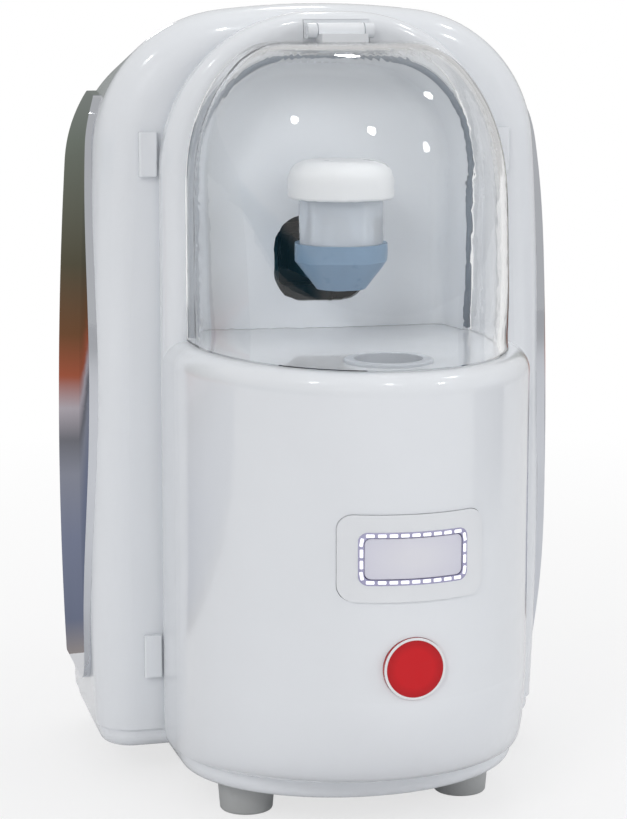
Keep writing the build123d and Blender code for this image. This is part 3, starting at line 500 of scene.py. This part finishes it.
def along_guide(distance):
    """A place on the guide's rounded rectangle, and the way it runs there, this far round from a corner."""
    corner = Vector((-guide_middle[0] + guide_corner, light_half_height - guide_corner))
    heading = 0.0
    for straight in straights:
        forward = Vector((math.cos(heading), math.sin(heading)))
        outward = Vector((-forward.y, forward.x))
        if distance <= straight:
            spot = corner + forward * distance + outward * guide_corner
            return spot.x, spot.y, heading
        distance -= straight
        corner += forward * straight
        if distance <= bend:
            turned = distance / guide_corner
            spot = corner + (outward * math.cos(turned) + forward * math.sin(turned)) * guide_corner
            return spot.x, spot.y, heading - turned
        distance -= bend
        heading -= math.pi / 2
    return corner.x, corner.y, heading


# %% [markdown]
# Each lens is a box with soft edges, which is enough for a shape this small. A modifier could soften
# it, but a bevel on the bmesh keeps the piece one plain mesh. The lens is placed on the nose's ellipse
# and turned to the ellipse's slope there.

# %% A soft box, and the nose's curve
nose_half = 61.0 * MM
nose_reach = 82.2 * MM
nose_centre_y = -18.0 * MM


def nose_y(x):
    """The guide's front on the nose's ellipse, and its slope there."""
    drop = math.sqrt(1 - (x / nose_half) ** 2)
    return nose_centre_y - nose_reach * drop, nose_reach * x / (nose_half**2 * drop)


def bar(shape, place, sizes, softness, upright_only=False):
    """A box of these sizes at a place, with its edges bevelled, or only the edges that stand up."""
    made = bmesh.ops.create_cube(shape, size=1.0, matrix=place @ Matrix.Diagonal((*sizes, 1)))["verts"]
    edges = {e for v in made for e in v.link_edges}
    if upright_only:
        edges = {e for e in edges if abs(e.verts[0].co.z - e.verts[1].co.z) > sizes[2] / 2}
    bmesh.ops.bevel(shape, geom=list(edges), offset=softness, offset_type="OFFSET", segments=2, profile=0.5,
                    affect="EDGES", material=-1)


print("the nose's front is at", round(nose_y(0)[0] / MM, 1), "mm")

# %% [markdown]
# A lens glows more than the guide it sits in. A plain white would look flat, so a soft noise changes
# its tone.

# %% Lit windows
window_pitch = 3.6 * MM
window_sizes = 2.7 * MM, 0.7 * MM, 1.1 * MM
window_sink = 0.1 * MM
window_softness = 0.25 * MM


def lit_window():
    """A white lens that glows more than the guide does, in a slightly uneven tone."""
    material, tree, shader, place = start_material("lit_window")
    glow = tint(tree, spread(tree, noise(tree, place, 500.0), 0.0, 1.0), (0.92, 0.93, 1.0), (1.0, 1.0, 1.0))
    tree.links.new(glow, shader.inputs["Base Color"])
    tree.links.new(glow, shader.inputs["Emission Color"])
    shader.inputs["Emission Strength"].default_value = 0.55
    tree.links.new(spread(tree, noise(tree, place, 700.0), 0.15, 0.25), shader.inputs["Roughness"])
    return material


shape = bmesh.new()
window_count = round(way_round / window_pitch)
for count in range(window_count):
    x, z, lean = along_guide(count * way_round / window_count)
    y, slope = nose_y(x)
    turn = Matrix.Rotation(math.atan(slope), 4, "Z") @ Matrix.Rotation(-lean, 4, "Y")
    place = Matrix.Translation((x, y + window_sink, light_centre_z + z)) @ turn
    bar(shape, place, window_sizes, window_softness)
print(window_count, "windows")
piece("lit_windows", shape, lit_window())

# %% [markdown]
# ## The seal round the chamber
#
# A soft grey seal runs up, round and down the arch where the hood closes on the frame. It draws the
# dark arch, and its dark blue-grey is partly painted shade for the shade and dark reflection along the
# arch's rim. Its section is pushed along the arch: straight up, a spin round the shoulder, a long shallow
# spin over the crown, and the same again down the other side.

# %% The seal's arch
liner_low, liner_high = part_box("chamber_liner")
liner_corner = 40.0 * MM
crown_rise = 6.0 * MM
seal_inset = 1.6 * MM
seal_half_width = 1.1 * MM
seal_half_depth = 0.55 * MM
seal_forward = 0.6 * MM
foot_lift = 1 * MM
seal_y = liner_low[1] - seal_forward
foot_z = liner_low[2] + foot_lift
arch_half = liner_high[0] - seal_inset
arch_top = liner_high[2] - seal_inset
arch_corner = liner_corner - seal_inset
crown_radius = (arch_half**2 + crown_rise**2) / (2 * crown_rise)
crown_centre = arch_top - crown_radius
shoulder_x = arch_half - arch_corner
shoulder_z = crown_centre + math.sqrt((crown_radius - arch_corner) ** 2 - shoulder_x**2)
crown_lean = math.asin(shoulder_x / (crown_radius - arch_corner))
shoulder_turn = math.pi / 2 - crown_lean
print("seal's shoulder at", round(shoulder_x / MM, 1), round(shoulder_z / MM, 1), "mm")


def faces_of(geom):
    """The faces among what an operator made."""
    return [g for g in geom if isinstance(g, bmesh.types.BMFace)]


def run_up(shape, geom, move):
    """Pushes the section straight on."""
    made = bmesh.ops.extrude_face_region(shape, geom=faces_of(geom))["geom"]
    bmesh.ops.translate(shape, verts=[g for g in made if isinstance(g, bmesh.types.BMVert)], vec=move)
    return made


def run_round(shape, geom, x, z, angle, steps):
    """Pushes the section round a centre in the seal's plane."""
    made = bmesh.ops.spin(shape, geom=faces_of(geom), cent=(x, seal_y, z), axis=(0, -1, 0), angle=angle,
                          steps=steps, use_merge=False)
    return made["geom_last"]


# %% [markdown]
# The section starts at the foot of the right leg. Each push takes up what the push before it left at
# its end, and the steps are closer round the shoulders, where the bend is tight.

# %% Chamber seal
shoulder_steps = 20
crown_steps = 6
shape = bmesh.new()
foot = Vector((arch_half, seal_y, foot_z))
for vert in bmesh.ops.create_grid(shape, x_segments=1, y_segments=1, size=1.0)["verts"]:
    vert.co = foot + Vector((vert.co.x * seal_half_width, vert.co.y * seal_half_depth, 0))
geom = run_up(shape, list(shape.faces), (0, 0, shoulder_z - foot_z))
geom = run_round(shape, geom, shoulder_x, shoulder_z, shoulder_turn, shoulder_steps)
geom = run_round(shape, geom, 0, crown_centre, 2 * crown_lean, crown_steps)
geom = run_round(shape, geom, -shoulder_x, shoulder_z, shoulder_turn, shoulder_steps)
run_up(shape, geom, (0, 0, foot_z - shoulder_z))
# The seal's dark blue-grey is partly painted shade along the arch's rim.
seal_rubber_and_shade = finish("seal_rubber_and_shade", (0.16, 0.2, 0.25), 0.4, skin=1600.0, skin_height=0.00003, shade=0.08)
piece("chamber_seal", shape, seal_rubber_and_shade)

# %% [markdown]
# ## Screw recesses
#
# The housing screws are cross-head screws, and they show when the machine is turned over. A real
# recess is a hole, but a dark cross laid a hair under the head reads the same at this size and leaves
# the screw's solid alone: the cross's black is painted shade for the hollow of the recess. Each cross is
# two slim bars with bevelled ends.

# %% Screw recesses under the base
# The cross's black is painted shade for the hollow of the recess.
recess_painted_shade = finish("recess_painted_shade", (0.03, 0.03, 0.032), 0.5, skin=3000.0, shade=0.2)
recess_sizes = 3.6 * MM, 0.8 * MM, 0.16 * MM
recess_softness = 0.2 * MM
recess_below = 0.05 * MM
head_reach = 9 * MM
same_plane = 0.01 * MM
head_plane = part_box("housing_screws")[0][2]
heads = []
for vert in nodes["housing_screws"].data.vertices:
    if vert.co.z < head_plane + same_plane:
        corner = vert.co.xy.copy()
        near = [head for head in heads if (head[0] - corner).length < head_reach]
        if near:
            near[0].append(corner)
        else:
            heads.append([corner])
shape = bmesh.new()
for corners in heads:
    x = (min(c.x for c in corners) + max(c.x for c in corners)) / 2
    y = (min(c.y for c in corners) + max(c.y for c in corners)) / 2
    for turned in (0, math.pi / 2):
        place = Matrix.Translation((x, y, head_plane - recess_below)) @ Matrix.Rotation(turned, 4, "Z")
        bar(shape, place, recess_sizes, recess_softness, upright_only=True)
print(len(heads), "screw heads")
piece("screw_recesses", shape, recess_painted_shade, smooth=False)

# %% [markdown]
# ## Marks on the mains switch
#
# A mains rocker carries two plain marks, a bar for on and a ring for off. They are moulded a little
# proud of the rocker and printed white. They ride on the rocker, so they tip with it.

# %% Switch marks
mark_white = finish("mark_white", (0.82, 0.82, 0.8), 0.4, skin=2500.0, shade=0.02)
mark_offset = 6 * MM
bar_sizes = 0.9 * MM, 0.3 * MM, 4 * MM
bar_softness = 0.1 * MM
ring_radius, ring_width, ring_height = 1.9 * MM, 0.7 * MM, 0.3 * MM
rocker_low, rocker_high = (Vector(corner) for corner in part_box("mains_rocker"))
rocker_middle = (rocker_low + rocker_high) / 2
face_depth = 4.2 * MM


def rocker_face(z):
    """The rocker's outer face at a height, read from its own corners."""
    corners = sorted({(round(v.co.z, 5), round(v.co.y, 5)) for v in nodes["mains_rocker"].data.vertices
                      if v.co.y > rocker_high.y - face_depth and abs(v.co.x - rocker_high.x) < 0.1 * MM})
    outer = [c for c in corners if c[1] > rocker_middle.y]
    for (z0, y0), (z1, y1) in zip(outer, outer[1:]):
        if z0 <= z <= z1:
            return y0 + (y1 - y0) * (z - z0) / (z1 - z0), math.atan2(y1 - y0, z1 - z0)
    return outer[-1][1], 0.0


shape = bmesh.new()
bar_z = rocker_middle.z + mark_offset
bar_y, bar_lean = rocker_face(bar_z)
bar_place = Matrix.Translation((rocker_middle.x, bar_y, bar_z)) @ Matrix.Rotation(-bar_lean, 4, "X")
bar(shape, bar_place, bar_sizes, bar_softness)
ring_z = rocker_middle.z - mark_offset
ring_y, ring_lean = rocker_face(ring_z)
ring(shape, ring_radius, ring_width, ring_height, (rocker_middle.x, ring_y, ring_z),
     (0, math.cos(ring_lean), math.sin(-ring_lean)))
piece("switch_marks", shape, mark_white, body="rocker")

# %% [markdown]
# ## Clips on the pivot pin
#
# The pivot pin is held by a spring clip at each end, outside the steel cheeks. A clip is a flat open
# ring. It is spun a little less than a full turn from its section, and its ends are capped.

# %% Pivot clips
pin_low, pin_high = (Vector(corner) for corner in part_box("pivot_pin"))
pin_y = (pin_low.y + pin_high.y) / 2
pin_z = (pin_low.z + pin_high.z) / 2
clip_from_end = 1 * MM
clip_thickness = 0.8 * MM
clip_radius = 4.0 * MM
clip_width = 1.9 * MM
clip_turn = math.radians(310)
clip_steps = 36
gap_turn = Matrix.Rotation((math.tau - clip_turn) / 2, 3, "X")
shape = bmesh.new()
for x in (pin_low.x + clip_from_end, pin_high.x - clip_from_end):
    centre = Vector((x, pin_y, pin_z))
    section = bmesh.ops.create_grid(shape, x_segments=1, y_segments=1, size=0.5)["verts"]
    for vert in section:
        vert.co = centre + Vector((vert.co.x * clip_thickness, 0, clip_radius + vert.co.y * clip_width))
    bmesh.ops.rotate(shape, verts=section, cent=centre, matrix=gap_turn)
    start = list({f for v in section for f in v.link_faces})
    bmesh.ops.spin(shape, geom=start, cent=centre, axis=(1, 0, 0), angle=clip_turn, steps=clip_steps,
                   use_merge=False)
piece("pivot_clips", shape, bright_steel, smooth=False)

# %% [markdown]
# ## The floor
#
# The photograph has a white ground, so the floor looks white to the camera and keeps only a soft
# shadow. More light would whiten the floor too, but also bleach the machine. So white emission is mixed
# in for what the camera sees, most of it far from the machine.

# %% Floor
floor_half = 40.0
shadow_reach = 0.15
white_reach = 0.7


def floor_paper():
    """White paper: the camera sees it nearly white, everything else sees plain paper."""
    material, tree, shader, place = start_material("floor_paper")
    shader.inputs["Base Color"].default_value = (0.86, 0.86, 0.87, 1)
    tree.links.new(spread(tree, noise(tree, place, 30.0), 0.7, 0.9), shader.inputs["Roughness"])
    white = tree.nodes.new("ShaderNodeEmission")
    rays = tree.nodes.new("ShaderNodeLightPath").outputs
    seen = combine(tree, "MAXIMUM", rays["Is Camera Ray"], rays["Is Transmission Ray"])
    away = from_centre(tree, place, (0, 0, 0))
    far = spread(tree, away, 0.7, 1.0, shadow_reach, white_reach)
    blend = tree.nodes.new("ShaderNodeMixShader")
    tree.links.new(combine(tree, "MULTIPLY", seen, far), blend.inputs["Fac"])
    tree.links.new(shader.outputs["BSDF"], blend.inputs[1])
    tree.links.new(white.outputs["Emission"], blend.inputs[2])
    tree.links.new(blend.outputs["Shader"], tree.nodes["Material Output"].inputs["Surface"])
    return material


shape = bmesh.new()
bmesh.ops.create_grid(shape, x_segments=8, y_segments=8, size=floor_half)
floor = in_scene("floor", shape, floor_paper())

# %% [markdown]
# ## The world
#
# The world gives an even light, and it is white to the camera, also through the clear hood. The hood
# mirrors what stands to its left, and a white world there would veil the dark hole behind the arm. A
# photographer hangs up a dark flag for that. Here the world itself is darker and bluer to the left,
# level with the machine, for mirrored light alone.

# %% World
world_light = 0.6
flag_share = 0.6
flag_blue = (0.22, 0.58, 0.8)
flag_side = -0.94, -0.84
flag_height = 0.07, 0.12
world = bpy.data.worlds.new("studio")
bpy.context.scene.world = world
world.use_nodes = True
sky = world.node_tree
background = sky.nodes["Background"]
rays = sky.nodes.new("ShaderNodeLightPath").outputs
mirrored = combine(sky, "MINIMUM", rays["Glossy Depth"], 1.0)
straight = combine(sky, "SUBTRACT", 1.0, mirrored)
seen_through = combine(sky, "MULTIPLY", rays["Is Transmission Ray"], straight)
seen = combine(sky, "MAXIMUM", rays["Is Camera Ray"], seen_through)
level = spread(sky, seen, world_light, 1.0, 0.0, 1.0)

way = axes(sky, sky.nodes.new("ShaderNodeTexCoord").outputs["Generated"])
leftward = spread(sky, way["X"], 1.0, 0.0, *flag_side)
near_level = spread(sky, combine(sky, "ABSOLUTE", way["Z"]), 1.0, 0.0, *flag_height)
flag = combine(sky, "MULTIPLY", combine(sky, "MULTIPLY", leftward, near_level), mirrored)
kept_light = combine(sky, "SUBTRACT", 1.0, combine(sky, "MULTIPLY", flag, flag_share))
sky.links.new(combine(sky, "MULTIPLY", level, kept_light), background.inputs["Strength"])
sky.links.new(tint(sky, flag, (1, 1, 1), flag_blue), background.inputs["Color"])
print("world light", world_light, "and what its dark side keeps", round(1 - flag_share, 2))

# %% [markdown]
# ## The lamps
#
# Large lamps stand left, right and above. They would show as big discs in the hood, where the
# photograph has small round glints. So the large ones give light and aren't mirrored, and a few small
# ones are mirrored and give no light.

# %% Lamps
glint_size = 0.08
glint_power = 0.32
hood_middle = (0, -0.03, 0.24)


def lamp(name, place, aim, size, power, glint=False, colour=(1, 1, 1)):
    """A round area lamp aimed at a point. A glint shows in gloss alone, and the others only give light."""
    data = bpy.data.lights.new(name, "AREA")
    data.shape = "DISK"
    data.size = size
    data.energy = power
    data.color = colour
    thing = bpy.data.objects.new(name, data)
    bpy.context.scene.collection.objects.link(thing)
    thing.location = place
    thing.rotation_euler = (Vector(aim) - Vector(place)).to_track_quat("-Z", "Y").to_euler()
    thing.visible_glossy = glint
    thing.visible_diffuse = not glint
    thing.visible_transmission = False


middle = (0, 0, 0.14)
lamp("key", (-1.1, -1.5, 1.3), middle, 0.7, 9.0, colour=(1, 0.99, 0.98))
lamp("fill", (1.4, -1.0, 0.9), middle, 0.6, 4.5, colour=(0.97, 0.98, 1))
lamp("top", (0.1, 0.3, 1.6), middle, 0.8, 5.0)
glint_places = [(0.18, 0.53, 0.92), (0.55, 0.06, 0.95), (-0.58, -0.14, 0.95), (0.04, -0.47, 1.04),
                (0.56, -0.42, 0.86), (-0.03, 0.85, 0.48)]
for count, place in enumerate(glint_places):
    lamp(f"glint_{count}", place, hood_middle, glint_size, glint_power, glint=True)
print(len(glint_places), "glints")

# %% [markdown]
# ## Cards for the chrome
#
# Chrome has no colour of its own and shows the room, which isn't here. Two cards stand in for it: they
# glow in bands of tone, and only mirrors see them.

# %% Cards


def card(name, place, aim, width, height, colours):
    """A card that only mirrors see, so that the chrome has something to reflect."""
    shape = bmesh.new()
    bmesh.ops.create_grid(shape, x_segments=1, y_segments=1, size=0.5)
    turn = (Vector(aim) - Vector(place)).to_track_quat("Z", "Y").to_matrix().to_4x4()
    sized = Matrix.Diagonal((width, height, 1, 1))
    bmesh.ops.transform(shape, matrix=Matrix.Translation(place) @ turn @ sized, verts=shape.verts)
    material, tree, shader, where = start_material(name)
    ramp = tree.nodes.new("ShaderNodeValToRGB")
    up = spread(tree, axes(tree, where)["Z"], 0.0, 1.0, place[2] - height / 2, place[2] + height / 2)
    tree.links.new(up, ramp.inputs["Fac"])
    for spot, _ in colours[2:]:
        ramp.color_ramp.elements.new(spot)
    for element, (spot, colour) in zip(ramp.color_ramp.elements, colours):
        element.position = spot
        element.color = (*colour, 1)
    glow = tree.nodes.new("ShaderNodeEmission")
    tree.links.new(ramp.outputs["Color"], glow.inputs["Color"])
    tree.links.new(glow.outputs["Emission"], tree.nodes["Material Output"].inputs["Surface"])
    thing = in_scene(name, shape, material)
    thing.visible_camera = False
    thing.visible_diffuse = False
    thing.visible_shadow = False
    thing.visible_transmission = False
    print(name, "has", len(colours), "tones")


room_tones = [(0.0, (0.3, 0.27, 0.26)), (0.05, (0.16, 0.18, 0.25)), (0.17, (0.2, 0.22, 0.3)),
              (0.26, (0.26, 0.27, 0.32)), (0.31, (0.17, 0.17, 0.19)), (0.355, (0.44, 0.4, 0.43)),
              (0.4, (0.36, 0.1, 0.055)), (0.46, (0.17, 0.08, 0.04)), (0.56, (0.1, 0.09, 0.06)),
              (0.74, (0.17, 0.19, 0.16)), (1.0, (0.3, 0.31, 0.33))]
card("card_left", (-0.2, 0.18, 0.15), (-0.2, 0.0, 0.15), 0.8, 0.3, room_tones)
grey_tones = [(0.0, (0.75, 0.76, 0.78)), (0.2, (0.16, 0.17, 0.2)), (0.45, (0.3, 0.31, 0.35)),
              (0.7, (0.62, 0.64, 0.68)), (1.0, (0.85, 0.86, 0.88))]
card("card_right", (0.5, -0.1, 0.16), (0.08, 0.02, 0.16), 0.3, 0.36, grey_tones)

# %% [markdown]
# ## The camera
#
# The camera was fitted to the ledge, button, seam, feet and arch of the photograph: it looks down by
# about ten degrees, from fifteen degrees to the left of the front. The lens follows from the fitted
# focal length and the frame's height of 819 pixels.

# %% Camera
frame_height = 819
focal_pixels = 2483.2
sensor_height = 36.0
yaw = math.radians(15.05)
pitch = math.radians(9.63)
distance = 0.8687
target = Vector((-0.00654, 0, 0.13236))
forward = Vector((math.sin(yaw) * math.cos(pitch), math.cos(yaw) * math.cos(pitch), -math.sin(pitch)))
lens_data = bpy.data.cameras.new("camera")
lens_data.sensor_fit = "VERTICAL"
lens_data.sensor_height = sensor_height
lens_data.lens = focal_pixels * sensor_height / frame_height
camera = bpy.data.objects.new("camera", lens_data)
bpy.context.scene.collection.objects.link(camera)
camera.location = target - forward * distance
camera.rotation_euler = forward.to_track_quat("-Z", "Y").to_euler()
bpy.context.scene.camera = camera
bpy.context.scene.view_settings.view_transform = "Standard"
print("camera at", tuple(round(c, 3) for c in camera.location), "lens", round(lens_data.lens, 1))
